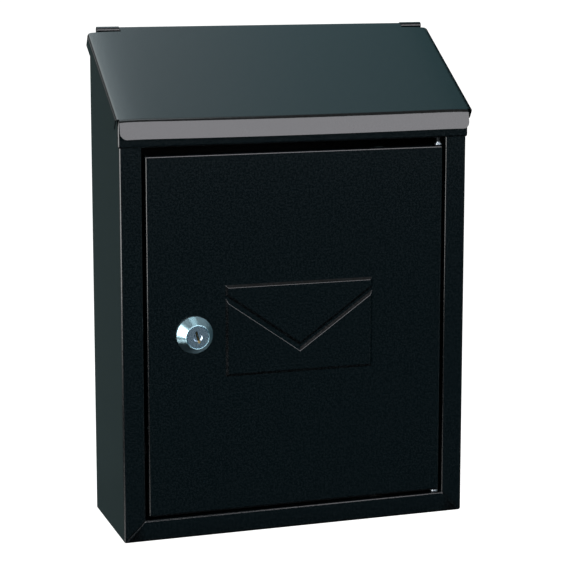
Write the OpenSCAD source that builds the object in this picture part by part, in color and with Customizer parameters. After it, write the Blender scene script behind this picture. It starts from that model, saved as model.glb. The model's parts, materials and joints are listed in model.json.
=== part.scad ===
// Wall mounted letterbox in folded sheet steel. A body hangs on four wall screws, a sloping lid
// turns on a rod along the top rear edge, and a door turns on two pins at its right edge and is
// held at its left edge by a cam lock.
// X runs to the right, Y runs into the wall, Z runs up. The wall face is the plane Y = 0, the
// front faces -Y, and the origin is the centre of the four wall screw holes.

/* [Body] */
// Width across the two side walls
body_w = 215; // [205:1:250]
// Depth from the wall to the face of the front frame
body_d = 76; // [74:0.5:78]
// Height from the underside to the top of the hinge knuckles
body_h = 300; // [298:0.5:306]
// Sheet thickness of the shell, the top rail and the door
sheet_t = 0.8; // [0.7:0.1:0.9]
// Outside radius of the folded edges
bend_r = 1.4; // [1.2:0.1:1.8]
// Width of each front stile
stile_w = 13.2; // [12.6:0.1:14]
// Height of the front sill below the door
sill_h = 12.8; // [12:0.1:14]
// Depth of the returns folded back from the stiles and the sill
return_d = 7.6; // [7:0.1:7.8]
// Width of the gap along each mitred corner
mitre_gap = 0.3; // [0.2:0.05:0.5]

/* [Back plate and wall screws] */
// Sheet thickness of the back plate
back_t = 1; // [0.9:0.1:1.1]
// Radius of each wall screw hole
screw_hole_r = 3; // [2:0.1:4]
// Distance between the screw holes across the width
screw_gap_x = 160; // [100:1:170]
// Distance between the screw holes up the height
screw_gap_z = 200; // [160:1:205]
// Height of the screw pattern's centre above the underside
screw_mid_z = 145; // [140:1:150]
// Outside radius of the hinge knuckles
knuckle_r = 2.2; // [2.2:0.1:2.4]
// Length of each hinge knuckle
knuckle_len = 13.6; // [12:0.2:15]
// How much further in the left knuckle is than the right one
knuckle_offset = 3.4; // [0:0.2:4]

/* [Top rail] */
// Height of the rail's lower edge above the underside
rail_z = 234; // [233:0.5:235]
// Height of the rail's top edge above the underside
rail_top_z = 251.4; // [250.5:0.1:251.5]
// Depth of the rail's lower return and of its two end tabs
rail_return_d = 10; // [9:0.5:12]

/* [Lid] */
// Slope of the lid below level, in degrees
lid_slope = 32; // [31.8:0.1:32.2]
// Distance from the hinge axis down the slope to the front fold
lid_reach = 91.2; // [91:0.1:92]
// Width over the lid's side flanges
lid_w = 220.4; // [220:0.1:222]
// Sheet thickness of the lid
lid_t = 0.6; // [0.5:0.1:0.7]
// Depth of the side flanges
lid_side_d = 6.8; // [6:0.1:7.5]
// Length of the front flange
lid_front_d = 11.2; // [10:0.1:12]
// Angle by which the front flange leans outward from vertical
lid_front_lean = 12; // [8:1:15]
// Radius of the hinge rod
rod_r = 1.1; // [1:0.05:1.15]

/* [Door] */
// Gap between the door and the left stile
door_gap_left = 2; // [1.8:0.1:2.2]
// Gap between the door and the right stile
door_gap_right = 1.8; // [1.8:0.1:2.2]
// Gap between the door and the sill
door_gap_low = 1.6; // [1.5:0.1:2]
// Gap between the door and the top rail
door_gap_top = 4.6; // [4:0.1:5]
// Depth of the door's folded edges
door_d = 7; // [6:0.1:7]
// Radius of the two pivot pins
pin_r = 1.3; // [1.2:0.05:1.3]
// Distance from the door's right edge to the pivot axis
pin_inset_x = 2.2; // [2.1:0.1:2.3]
// Distance from the door's face to the pivot axis
pin_inset_y = 2.6; // [2.4:0.1:2.6]

/* [Envelope relief] */
// Width of the relief
env_w = 90.8; // [80:0.2:100]
// Height of the relief
env_h = 53.4; // [48:0.2:56]
// Distance from the door's left edge to the relief's middle
env_mid_x = 93.6; // [92:0.2:96]
// Height of the relief's middle above the underside
env_mid_z = 123.8; // [110:0.2:130]
// How far the relief stands out from the door
env_rise = 1; // [0.8:0.1:1.2]
// Drop from the top edge to the tip of the flap
env_flap = 37; // [34:0.2:40]
// Height of the channel below the flap
env_channel = 3.6; // [3.4:0.2:6]

/* [Lock] */
// Distance from the door's left edge to the lock axis
lock_in = 28.3; // [27.5:0.1:29]
// Height of the lock axis above the underside
lock_z = 123; // [110:0.5:130]
// Radius of the lock head at the door
lock_base_r = 11; // [10:0.1:12]
// Radius of the lock head at its face
lock_face_r = 7.4; // [7.3:0.1:7.8]
// How far the lock head stands out from the door
lock_out = 8.2; // [7.8:0.1:9]
// Radius of the threaded barrel behind the head
barrel_r = 8; // [7.8:0.1:8.2]
// Radius of the turning plug
plug_r = 5; // [4.8:0.1:5]
// Length of the cam from the lock axis to its tip
cam_len = 36.5; // [35:0.5:38]
// Thickness of the cam
cam_t = 1.6; // [1.2:0.1:1.6]
// Lean of the keyway from upright while the cam hangs down, in degrees clockwise
key_lean = -16; // [-20:1:20]

/* [Hidden] */
$fn = 64;

steel_black = "#1d2022";
chromed = "#d5dadd";
zinc = "#b9bcc0";
brass = "#c2a04e";
rubber = "#18181a";

cut = 1;              // how far a cutting shape runs past the face that it cuts
reach_out = 400;      // longer than any piece, for half-space cuts
half_w = body_w / 2;
face_y = -body_d;     // plane of the front frame's face and of the door's face
hole_play = 0.05;     // radial play of each turning pin or plug in its hole
fixed_play = 0.02;    // radial play of a pin that is riveted in its hole
lap = 0.5;            // angle by which a bend runs on into the flange after it

// Hinge axis of the lid, and the lid sheet's distances above it, square to the slope
hinge_y = -knuckle_r;
hinge_z = body_h - knuckle_r;
lid_in = rod_r + 0.06;
lid_out = lid_in + lid_t;
knuckle_end = half_w - 0.9;
knuckle_start = knuckle_end - knuckle_len;
curl_half = knuckle_start - 0.4 - knuckle_offset / 2;
curl_mid = knuckle_offset / 2;
notch_y = 4;          // length cut from the lid's rear corners to clear the knuckles
side_clear = 0.6;     // gap between the lid's underside and the side walls' sloping edges
lid_half = lid_w / 2;
lid_front_half = lid_half - 2;

// Pivot axis of the door and the edges of the door
door_x0 = -half_w + stile_w + door_gap_left;
door_x1 = half_w - stile_w - door_gap_right;
door_z0 = sill_h + door_gap_low;
door_z1 = rail_z - door_gap_top;
pivot_x = door_x1 - pin_inset_x;
pivot_y = face_y + pin_inset_y;

// Lock, measured backwards from the door's face along the lock axis
lock_x = door_x0 + lock_in;
gasket_t = 0.6;
head_step = 1.6;                      // thickness of the plug's wider front disc
plug_face_r = lock_face_r - 0.8;
barrel_end = 7;
barrel_flat = 7;                      // half distance across the barrel's two flats
stop_a = barrel_end + 0.25;
cam_a = 8.2;
square_w = 7;
square_end = cam_a + cam_t - 0.2;
screw_r = 2;
wafer_t = 1;
wafer_pitch = 2.4;
wafer_first = -4.6;
wafer_count = 4;

// Moves a piece drawn above the plane of the underside into the part's own frame.
module hung() translate([0, 0, -screw_mid_z]) children();

// Frame on the lid's slope: origin on the hinge axis, -Y down the slope, Z square to it.
module on_slope() translate([0, hinge_y, hinge_z]) rotate([lid_slope, 0, 0]) children();

// Frame on the lock axis: origin at the door's face, Z backwards, Y down.
module at_lock() translate([lock_x, face_y, lock_z]) rotate([-90, 0, 0]) children();

// Flat rectangle from corner a to corner b with corner radius r.
module round_rect(a, b, r) {
    translate([a.x + r, a.y]) square([b.x - a.x - 2 * r, b.y - a.y]);
    translate([a.x, a.y + r]) square([b.x - a.x, b.y - a.y - 2 * r]);
    for (x = [a.x + r, b.x - r], y = [a.y + r, b.y - r])
        translate([x, y]) circle(r);
}

// Block from corner a to corner b with every edge rounded to radius r.
module round_block(a, b, r) intersection() {
    translate([0, b.y, 0]) rotate([90, 0, 0])
        linear_extrude(b.y - a.y) round_rect([a.x, a.z], [b.x, b.z], r);
    translate([0, 0, a.z])
        linear_extrude(b.z - a.z) round_rect([a.x, a.y], [b.x, b.y], r);
    translate([a.x, 0, 0]) rotate([90, 0, 90])
        linear_extrude(b.x - a.x) round_rect([a.y, a.z], [b.y, b.z], r);
}

// Plain box from corner a to corner b.
module box(a, b) translate(a) cube(b - a);

// Flat sector of a ring, from angle a0 to angle a1, less than half a turn.
module ring_sector(r_in, r_out, a0, a1) intersection() {
    difference() {
        circle(r_out);
        circle(r_in);
    }
    polygon([[0, 0], for (a = [a0, (a0 + a1) / 2, a1]) 3 * r_out * [cos(a), sin(a)]]);
}

// Flat waste outside a round corner of radius r, whose centre is the origin. The corner points
// along side_x in X and side_y in Y.
module corner_waste(r, side_x, side_y) difference() {
    translate([min(0, side_x * 2 * r), min(0, side_y * 2 * r)]) square(2 * r);
    circle(r);
}

// Extrudes a flat Y-Z outline along X, from -half to half.
module along_x(half) translate([-half, 0, 0]) rotate([90, 0, 90])
    linear_extrude(2 * half) children();

// Two side walls, floor and front frame, folded from one sheet. The front corners are mitred and
// the frame's inner edges are folded back; narrow rear flanges carry the back plate.
module shell() {
    inner_x = half_w - stile_w;
    rear_flange = 12;
    stile_top = rail_top_z - sheet_t - 0.2;
    mitre_angle = atan2(sill_h, stile_w);
    color(steel_black) hung() difference() {
        union() {
            difference() {
                round_block([-half_w, face_y, 0], [half_w, -back_t, body_h + 20], bend_r);
                round_block([-half_w + sheet_t, face_y + sheet_t, sheet_t],
                            [half_w - sheet_t, -back_t - sheet_t, body_h + 30], bend_r - sheet_t);
                box([-inner_x, face_y - cut, sill_h], [inner_x, face_y + 2, reach_out]);
                box([-half_w + rear_flange, -back_t - 2, rear_flange],
                    [half_w - rear_flange, 0, reach_out]);
                for (side = [-1, 1])
                    translate([side * half_w, face_y - cut, 0])
                        rotate([0, side > 0 ? mitre_angle - 180 : -mitre_angle, 0])
                            translate([0, 0, -mitre_gap / 2])
                                cube([norm([stile_w, sill_h]), cut + sheet_t, mitre_gap]);
            }
            for (side = [-1, 1])
                translate([side * (inner_x + sheet_t / 2), 0, 0])
                    box([-sheet_t / 2, face_y, sill_h - sheet_t],
                        [sheet_t / 2, face_y + return_d, reach_out]);
            box([-inner_x, face_y, sill_h - sheet_t], [inner_x, face_y + return_d, sill_h]);
        }
        box([-reach_out, face_y - cut, stile_top], [reach_out, face_y + return_d + cut, reach_out]);
        box([-reach_out, -reach_out, hinge_z - 3.2], [reach_out, reach_out, reach_out]);
        on_slope() translate([-reach_out / 2, -reach_out, lid_in - side_clear])
            cube([reach_out, reach_out, reach_out]);
        translate([pivot_x, pivot_y, sill_h - sheet_t - cut])
            cylinder(h = sheet_t + 2 * cut, r = pin_r + hole_play);
    }
}

// Back plate with the wall screw holes. A tongue at each end of its top edge is rolled forward
// into a hinge knuckle.
module back_plate() {
    plate_in = 0.8;
    plate_top = hinge_z - 2;
    color(steel_black) hung() difference() {
        union() {
            box([-half_w + plate_in, -back_t, plate_in], [half_w - plate_in, 0, plate_top]);
            for (side = [-1, 1])
                translate([side * (knuckle_start + knuckle_len / 2) + (side < 0 ? knuckle_offset : 0), 0, 0]) {
                    box([-knuckle_len / 2, -back_t, plate_top - cut],
                        [knuckle_len / 2, 0, hinge_z]);
                    translate([0, hinge_y, hinge_z]) along_x(knuckle_len / 2) {
                        ring_sector(knuckle_r - back_t, knuckle_r, 0, 90);
                        ring_sector(knuckle_r - back_t, knuckle_r, 90, 180);
                        ring_sector(knuckle_r - back_t, knuckle_r, 180, 260);
                    }
                }
        }
        for (x = [-1, 1] * screw_gap_x / 2, z = [-1, 1] * screw_gap_z / 2)
            translate([x, cut, screw_mid_z + z]) rotate([90, 0, 0])
                cylinder(h = back_t + 2 * cut, r = screw_hole_r);
    }
}

// Channel across the front above the door. It laps over the stile tops, its ends wrap round the
// side walls, and its lower return carries the door's upper pin.
module top_rail() {
    top_return_d = 14;
    end_x = half_w + sheet_t;
    front_y = face_y - sheet_t;
    inner_x = half_w - stile_w - 0.4;
    color(steel_black) hung() difference() {
        round_block([-end_x, front_y, rail_z], [end_x, face_y + 40, rail_top_z], bend_r);
        round_block([-half_w, face_y, rail_z + sheet_t], [half_w, face_y + 60,
                    rail_top_z - sheet_t], bend_r - sheet_t);
        box([-reach_out, face_y + top_return_d, 0], [reach_out, reach_out, reach_out]);
        box([-reach_out, face_y + rail_return_d, 0],
            [reach_out, reach_out, rail_top_z - sheet_t]);
        for (side = [-1, 1]) {
            translate([side * (half_w + inner_x) / 2, 0, 0])
                box([-(half_w - inner_x) / 2, face_y, rail_z - cut],
                    [(half_w - inner_x) / 2, 0, rail_z + sheet_t + bend_r]);
            translate([side * (half_w - sheet_t), 0, 0])
                box([-sheet_t, face_y, rail_top_z - sheet_t - bend_r],
                    [sheet_t, 0, rail_top_z + cut]);
            translate([side * end_x, 0, 0])
                box([-2 * sheet_t, face_y + rail_return_d, rail_z],
                    [2 * sheet_t, 0, rail_top_z + cut]);
        }
        translate([pivot_x, pivot_y, rail_z - cut])
            cylinder(h = 2 * cut + sheet_t, r = pin_r + hole_play);
    }
}

// Rod through both knuckles and the curl of the lid.
module hinge_rod() {
    rod_half = knuckle_end - 0.3;
    color(zinc) hung() translate([knuckle_offset - rod_half, hinge_y, hinge_z]) rotate([0, 90, 0])
        cylinder(h = 2 * rod_half - knuckle_offset, r = rod_r);
}

// Sloping lid: a flat sheet with side flanges, a front flange with round lower corners, and a
// rear edge curled round the hinge rod between the knuckles.
module lid() {
    turn = 90 - lid_slope - lid_front_lean;
    bend_c = lid_reach - bend_r * tan(turn / 2);
    flange_len = lid_front_d - bend_r * tan(turn / 2);
    corner_r = 4.5;
    rear_corner_r = 3;
    side_end = lid_reach - 1.6;
    color(steel_black) hung() on_slope() {
        difference() {
            translate([0, -notch_y, 0]) rotate([90, 0, 0]) linear_extrude(side_end - notch_y)
                difference() {
                    round_rect([-lid_half, lid_out - lid_side_d - 10], [lid_half, lid_out], bend_r);
                    round_rect([-lid_half + lid_t, lid_out - lid_side_d - 20],
                               [lid_half - lid_t, lid_in], bend_r - lid_t);
                }
            box([-reach_out, -reach_out, -reach_out], [reach_out, reach_out, lid_out - lid_side_d]);
            for (y = [-side_end, -notch_y])
                translate([0, y, lid_out - lid_side_d]) rotate([45, 0, 0])
                    cube([reach_out, 4, 4], center = true);
            for (side = [-1, 1])
                translate([side * (lid_half - rear_corner_r), -notch_y - rear_corner_r, -lid_side_d])
                    linear_extrude(2 * lid_side_d) corner_waste(rear_corner_r, side, 1);
        }
        translate([curl_mid, 0, 0]) box([-curl_half, -notch_y - cut, lid_in], [curl_half, 0, lid_out]);
        translate([curl_mid, 0, 0]) along_x(curl_half) {
            ring_sector(lid_in, lid_out, 0, 90);
            ring_sector(lid_in, lid_out, -90, 0);
            ring_sector(lid_in, lid_out, -170, -90);
        }
        difference() {
            along_x(lid_front_half) {
                translate([-bend_c, lid_in]) square([bend_c - side_end + cut, lid_t]);
                translate([-bend_c, lid_out - bend_r]) {
                    ring_sector(bend_r - lid_t, bend_r, 90, 90 + turn + lap);
                    rotate(turn) translate([-flange_len, bend_r - lid_t])
                        square([flange_len, lid_t]);
                }
            }
            translate([0, -bend_c, lid_out - bend_r]) rotate([turn, 0, 0]) for (side = [-1, 1])
                translate([side * (lid_front_half - corner_r), -flange_len + corner_r, -cut])
                    linear_extrude(bend_r + 2 * cut) corner_waste(corner_r, side, -1);
        }
    }
}

// Outline of the barrel with its two flats, grown by g.
module barrel_outline(g) intersection() {
    circle(barrel_r + g);
    square([2 * (barrel_flat + g), 4 * barrel_r], center = true);
}

// Flap and pocket of the envelope relief, drawn in from their outer edges by g.
module envelope_outline(g) {
    w = env_w / 2 - g;
    edge_drop = 5;
    rise = (env_flap - edge_drop) / (env_w / 2);
    slant = g * norm([1, rise]);
    top = env_h / 2;
    polygon([[-w, top - g], [w, top - g], [w, top - env_flap + rise * w + slant],
             [0, top - env_flap + slant], [-w, top - env_flap + rise * w + slant]]);
    low = top - env_flap - env_channel - slant;
    polygon([[-w, -top + g], [w, -top + g], [w, low + rise * w], [0, low], [-w, low + rise * w]]);
}

// Door: a shallow pan with the envelope relief pressed out of its face, a hole with two flats for
// the lock, and a hole in the top and bottom edges for the pivot pins.
module door() {
    env_x = door_x0 + env_mid_x;
    color(steel_black) hung() difference() {
        union() {
            round_block([door_x0, face_y, door_z0], [door_x1, face_y + 20, door_z1], bend_r);
            translate([env_x, face_y + sheet_t, env_mid_z]) rotate([90, 0, 0])
                linear_extrude(sheet_t + env_rise) envelope_outline(0);
        }
        round_block([door_x0 + sheet_t, face_y + sheet_t, door_z0 + sheet_t],
                    [door_x1 - sheet_t, face_y + 30, door_z1 - sheet_t], bend_r - sheet_t);
        box([-reach_out, face_y + door_d, 0], [reach_out, reach_out, reach_out]);
        translate([env_x, face_y + sheet_t + cut, env_mid_z]) rotate([90, 0, 0])
            linear_extrude(env_rise + cut) envelope_outline(sheet_t);
        at_lock() translate([0, 0, -cut]) linear_extrude(2 * cut + sheet_t)
            barrel_outline(0.1);
        for (z = [door_z0, door_z1])
            translate([pivot_x, pivot_y, z])
                cylinder(h = 4 * sheet_t, r = pin_r + fixed_play, center = true);
    }
}

// Pin riveted in the door's top edge, with a collar above the edge.
module upper_pivot_pin() {
    collar_h = 1;
    color(zinc) hung() translate([pivot_x, pivot_y, 0]) {
        translate([0, 0, door_z1 - 3]) cylinder(h = rail_z + 2.4 - door_z1 + 3, r = pin_r);
        translate([0, 0, door_z1]) cylinder(h = collar_h, r = pin_r + 0.8);
    }
}

// Pin riveted in the door's bottom edge.
module lower_pivot_pin() {
    color(zinc) hung() translate([pivot_x, pivot_y, sill_h - 3.4])
        cylinder(h = door_z0 + 3 - (sill_h - 3.4), r = pin_r);
}

// Washer that carries the door on the sill.
module pivot_washer() {
    color(zinc) hung() translate([pivot_x, pivot_y, sill_h + 0.1]) difference() {
        cylinder(h = door_gap_low - 0.1, r = 2.4);
        translate([0, 0, -cut]) cylinder(h = door_gap_low + 2 * cut, r = pin_r + fixed_play);
    }
}

// Thin seal between the lock head and the door.
module lock_gasket() {
    color(rubber) hung() at_lock() translate([0, 0, -gasket_t]) linear_extrude(gasket_t)
        difference() {
            circle(lock_base_r - 0.5);
            circle(barrel_r + 0.1);
        }
}

// Lock housing: a conical head, a barrel with two flats, the bore for the plug with a locking
// groove above and below it, and a boss at the rear that limits the turn.
module lock_housing() {
    groove_w = 5.3;
    groove_r = plug_r + 1.2;
    groove_a = wafer_first - wafer_t;
    groove_b = wafer_first + (wafer_count - 1) * wafer_pitch + wafer_t;
    color(chromed) hung() at_lock() difference() {
        union() {
            rotate_extrude() polygon([
                [plug_r + hole_play, -lock_out + head_step + 0.2], [plug_face_r + hole_play,
                -lock_out + head_step + 0.2], [plug_face_r + hole_play, -lock_out],
                [lock_face_r - 0.3, -lock_out], [lock_face_r, -lock_out + 0.3],
                [lock_base_r, -gasket_t - 0.8], [lock_base_r, -gasket_t],
                [plug_r + hole_play, -gasket_t]]);
            translate([0, 0, -gasket_t]) linear_extrude(barrel_end + gasket_t) difference() {
                barrel_outline(0);
                circle(plug_r + hole_play);
            }
            translate([0, 0, barrel_end - cut]) linear_extrude(cut + 1)
                ring_sector(plug_r + 1.4, barrel_flat - 0.1, -10, 10);
        }
        rotate(key_lean) translate([-groove_w / 2, -groove_r, groove_a])
            cube([groove_w, 2 * groove_r, groove_b - groove_a]);
    }
}

// Toothed spring washer under the nut.
module lock_washer() {
    tooth_count = 16;
    color(zinc) hung() at_lock() translate([0, 0, sheet_t]) linear_extrude(0.8) difference() {
        circle(barrel_r + 2.6);
        circle(barrel_r + 0.2);
        for (i = [0 : tooth_count - 1])
            rotate(i * 360 / tooth_count) translate([barrel_r + 2, -0.4]) square([2, 0.8]);
    }
}

// Hexagon nut that clamps the lock in the door.
module lock_nut() {
    across_flats = 20;
    color(zinc) hung() at_lock() translate([0, 0, sheet_t + 0.8]) difference() {
        cylinder(h = 3.6, r = across_flats / 2 / cos(30), $fn = 6);
        translate([0, 0, -cut]) cylinder(h = 3.6 + 2 * cut, r = barrel_r + fixed_play);
    }
}

// Outline of one wafer's place in the plug: a slot right across it and a closed spring pocket.
module wafer_place() {
    translate([-2.5, -2 * plug_r]) square([3.7, 4 * plug_r]);
    translate([1, -1.5]) square([1.6, 3.3]);
}

// Turning plug: face disc with a countersunk middle, barrel with the keyway and the wafer slots,
// square end for the cam.
module lock_plug() {
    keyway_w = 1.3;
    keyway_h = 7.4;
    face_at = -lock_out + 0.2;
    rim = 0.25;
    sink_r = 2.7;
    sink_d = 0.6;
    color(chromed) hung() at_lock() difference() {
        union() {
            translate([0, 0, face_at]) cylinder(h = rim, r1 = plug_face_r - rim, r2 = plug_face_r);
            translate([0, 0, face_at + rim]) cylinder(h = head_step - 0.1 - rim, r = plug_face_r);
            translate([0, 0, face_at + rim]) cylinder(h = lock_out + barrel_end - rim, r = plug_r);
            translate([-square_w / 2, -square_w / 2, barrel_end])
                cube([square_w, square_w, square_end - barrel_end]);
        }
        translate([0, 0, face_at - cut])
            cylinder(h = sink_d + cut, r1 = sink_r + cut, r2 = sink_r - sink_d);
        rotate(key_lean) translate([-keyway_w / 2, -keyway_h / 2, -lock_out - cut])
            cube([keyway_w, keyway_h, lock_out + cut + 4]);
        translate([0, 0, barrel_end - 2.6]) cylinder(h = 10, r = screw_r);
        rotate(key_lean) for (i = [0 : wafer_count - 1])
            translate([0, 0, wafer_first + i * wafer_pitch - wafer_t / 2 - 0.05])
                linear_extrude(wafer_t + 0.1) wafer_place();
    }
}

// Wafers at the height at which the key holds them, flush with the plug, each with a window for
// the key and a lug over its spring.
module lock_wafers() {
    color(brass) hung() at_lock() rotate(key_lean) for (i = [0 : wafer_count - 1])
        translate([0, 0, wafer_first + i * wafer_pitch - wafer_t / 2])
            linear_extrude(wafer_t) difference() {
                intersection() {
                    circle(plug_r - 0.05);
                    union() {
                        translate([-2.4, -plug_r]) square([3.5, 2 * plug_r]);
                        translate([1, -1.2]) square([1.5, 1.2]);
                    }
                }
                translate([-1, -3 + 0.3 * (i % 2)]) square([1.4, 5.6]);
            }
}

// Closed coil spring under each wafer's lug.
module wafer_springs() {
    wire_r = 0.1;
    coil_r = 0.34;
    coil_pitch = 0.19;
    coil_count = 8;
    color(zinc) hung() at_lock() rotate(key_lean)
        for (i = [0 : wafer_count - 1], k = [0 : coil_count - 1])
            translate([1.85, 0.15 + k * coil_pitch, wafer_first + i * wafer_pitch])
                rotate([-90, 0, 0]) rotate_extrude($fn = 24) translate([coil_r, 0])
                    circle(wire_r, $fn = 16);
}

// Washer on the plug's square. Its cut-away quarter meets the housing's boss at either end of
// the turn.
module stop_washer() {
    color(zinc) hung() at_lock() translate([0, 0, stop_a]) linear_extrude(cam_a - stop_a)
        difference() {
            circle(barrel_r + 0.4);
            square(square_w + 0.1, center = true);
            ring_sector(plug_r + 1.2, barrel_r + 2, -103, 13);
        }
}

// Cam: a flat arm on the plug's square. It hangs down when unlocked and turns to the left behind
// the stile's return to lock.
module cam() {
    arm_w = 12;
    color(zinc) hung() at_lock() translate([0, 0, cam_a]) linear_extrude(cam_t) difference() {
        union() {
            circle(barrel_r);
            translate([-arm_w / 2, 0]) square([arm_w, cam_len - arm_w / 2]);
            translate([0, cam_len - arm_w / 2]) circle(arm_w / 2);
        }
        square(square_w + 0.1, center = true);
    }
}

// Washer between the cam and its screw.
module cam_washer() {
    color(zinc) hung() at_lock() translate([0, 0, cam_a + cam_t]) difference() {
        cylinder(h = 0.8, r = 6);
        translate([0, 0, -cut]) cylinder(h = 0.8 + 2 * cut, r = screw_r + 0.1);
    }
}

// Screw that clamps the cam on the plug, with a cross recess.
module cam_screw() {
    head_h = 2.2;
    head_a = cam_a + cam_t + 0.8;
    shank_len = 5;
    color(zinc) hung() at_lock() translate([0, 0, head_a]) difference() {
        union() {
            translate([0, 0, -shank_len]) cylinder(h = shank_len + 0.2, r = screw_r - fixed_play);
            cylinder(h = head_h, r = 3.6);
        }
        for (turn = [0, 90])
            rotate(turn) translate([-2, -0.4, head_h - 1.2]) cube([4, 0.8, 1.2 + cut]);
    }
}

shell();
back_plate();
top_rail();
hinge_rod();
lid();
door();
upper_pivot_pin();
lower_pivot_pin();
pivot_washer();
lock_gasket();
lock_housing();
lock_washer();
lock_nut();
lock_plug();
lock_wafers();
wafer_springs();
stop_washer();
cam();
cam_washer();
cam_screw();
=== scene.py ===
"""Looks of the wall mounted letterbox: powder-coated sheet steel, zinc-plated pins, a chromed cam lock."""
import json
import math

import bmesh
import bpy
from mathutils import Euler, Matrix, Vector


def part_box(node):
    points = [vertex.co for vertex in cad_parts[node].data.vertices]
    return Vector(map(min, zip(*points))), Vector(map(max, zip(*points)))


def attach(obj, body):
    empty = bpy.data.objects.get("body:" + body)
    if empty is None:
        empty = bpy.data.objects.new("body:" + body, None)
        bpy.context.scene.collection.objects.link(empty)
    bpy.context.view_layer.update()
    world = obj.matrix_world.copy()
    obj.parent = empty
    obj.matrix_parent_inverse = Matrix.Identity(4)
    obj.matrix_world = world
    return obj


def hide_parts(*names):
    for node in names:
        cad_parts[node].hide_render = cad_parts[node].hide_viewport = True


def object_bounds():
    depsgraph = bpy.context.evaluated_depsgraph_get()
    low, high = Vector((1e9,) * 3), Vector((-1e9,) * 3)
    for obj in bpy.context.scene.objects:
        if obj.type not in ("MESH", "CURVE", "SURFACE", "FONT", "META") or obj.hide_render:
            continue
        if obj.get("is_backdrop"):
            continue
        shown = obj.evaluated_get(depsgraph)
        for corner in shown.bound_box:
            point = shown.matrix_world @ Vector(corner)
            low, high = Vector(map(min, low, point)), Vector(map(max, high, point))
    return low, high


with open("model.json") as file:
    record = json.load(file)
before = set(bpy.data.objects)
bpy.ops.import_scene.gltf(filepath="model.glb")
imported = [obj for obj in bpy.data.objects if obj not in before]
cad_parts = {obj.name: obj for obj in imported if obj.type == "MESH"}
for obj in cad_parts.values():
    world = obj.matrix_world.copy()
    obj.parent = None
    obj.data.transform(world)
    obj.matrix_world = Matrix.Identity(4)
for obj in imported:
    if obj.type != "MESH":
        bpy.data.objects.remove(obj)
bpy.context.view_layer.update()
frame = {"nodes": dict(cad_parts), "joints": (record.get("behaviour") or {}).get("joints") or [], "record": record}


# ==== Shell =======================================================================================
# One blank of 0.8 mm sheet steel folded into two side walls, a floor and a front frame. The frame's
# inner edges are folded back, its corners are mitred, and narrow rear flanges carry the back plate.
MM = 0.001
SHEET_T = 0.8 * MM
FOLD_R = 1.4 * MM
RETURN_R = 1.2 * MM
STILE_W = 13.2 * MM
SILL_H = 12.8 * MM
RETURN_D = 7.6 * MM
REAR_FLANGE = 12 * MM
MITRE_GAP = 0.16 * MM
MITRE_PINCH = 0.55 * MM
MITRE_SINK = 0.22 * MM
STEP_D = 8.6 * MM
STILE_TOP = 250.4 * MM
SHELL_EDGE = 0.28 * MM
LID_SLOPE = math.radians(32)
UNDER_LID = 0.56 * MM

# A length too small to matter, and one that reaches past everything.
HAIR = 0.001 * MM
FAR = 1.0

joint_at = {joint["name"]: Vector(joint["pos_m"]) for joint in frame["joints"]}
shell_low, shell_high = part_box("shell")
face_y = shell_low.y
floor_to_row = shell_low.z
hinge = joint_at["lid_hinge"]


def box_sheet(low, high):
    """A box between two corners as six flat sheets, one face each."""
    bm = bmesh.new()
    bmesh.ops.create_cube(bm, size=1)
    bmesh.ops.scale(bm, vec=high - low, verts=bm.verts)
    bmesh.ops.translate(bm, vec=(low + high) / 2, verts=bm.verts)
    return bm


def middle(edge):
    """The point half way along an edge."""
    return (edge.verts[0].co + edge.verts[1].co) / 2


def drop(bm, test):
    """Deletes the faces whose middle passes the test."""
    faces = [f for f in bm.faces if test(f.calc_center_bounds())]
    bmesh.ops.delete(bm, geom=faces, context="FACES")


def split(bm, faces, point, normal):
    """Cuts faces along a plane and leaves both sides in place."""
    edges = dict.fromkeys(e for f in faces for e in f.edges)
    verts = dict.fromkeys(v for f in faces for v in f.verts)
    bmesh.ops.bisect_plane(bm, geom=[*faces, *edges, *verts], dist=HAIR / 10, plane_co=point,
                           plane_no=normal)


def touching(bm, low, high):
    """Faces whose own box reaches into the box between two corners."""
    return [f for f in bm.faces
            if all(min(v.co[i] for v in f.verts) < high[i] and max(v.co[i] for v in f.verts) > low[i]
                   for i in range(3))]


def snip(bm, low, high):
    """Cuts out the part of the sheet that lies inside a box."""
    for axis in range(3):
        normal = Vector([float(i == axis) for i in range(3)])
        for place in (low[axis], high[axis]):
            split(bm, touching(bm, low, high), normal * place, normal)
    drop(bm, lambda c: all(low[i] < c[i] < high[i] for i in range(3)))


def trim(bm, point, normal):
    """Cuts off everything on the side of a plane that its normal points to."""
    bmesh.ops.bisect_plane(bm, geom=[*bm.faces, *bm.edges, *bm.verts], dist=HAIR / 10, plane_co=point,
                           plane_no=normal, clear_outer=True)


def round_off(bm, corner, a, b, radius, reach):
    """Rounds a free corner of a sheet. a and b point out of the sheet across its two edges, and the
    cut goes through everything within reach, square to both."""
    centre = corner - (a + b) * radius
    square = a.cross(b) * reach
    spots = [centre - square, centre + square, corner - square, corner + square]
    low = Vector([min(p[i] for p in spots) - 10 * HAIR for i in range(3)])
    high = Vector([max(p[i] for p in spots) + 10 * HAIR for i in range(3)])
    steps = 6
    for k in range(steps):
        angle = math.radians(90) * (k + 0.5) / steps
        out = a * math.cos(angle) + b * math.sin(angle)
        split(bm, touching(bm, low, high), centre + out * radius, out)
        beyond = [f for f in touching(bm, low, high)
                  if (f.calc_center_bounds() - centre).dot(out) > radius + HAIR]
        bmesh.ops.delete(bm, geom=beyond, context="FACES")


def fold(bm, edges, radius):
    """Rounds edges to a bend radius."""
    bmesh.ops.bevel(bm, geom=edges, offset=radius, segments=5, profile=0.5, affect="EDGES", material=-1,
                    clamp_overlap=True)


def flange(bm, edges, vec):
    """Pulls a new strip of sheet out of free edges and returns its far vertices."""
    made = bmesh.ops.extrude_edge_only(bm, edges=edges)["geom"]
    verts = [v for v in made if isinstance(v, bmesh.types.BMVert)]
    bmesh.ops.translate(bm, vec=vec, verts=verts)
    return verts


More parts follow.
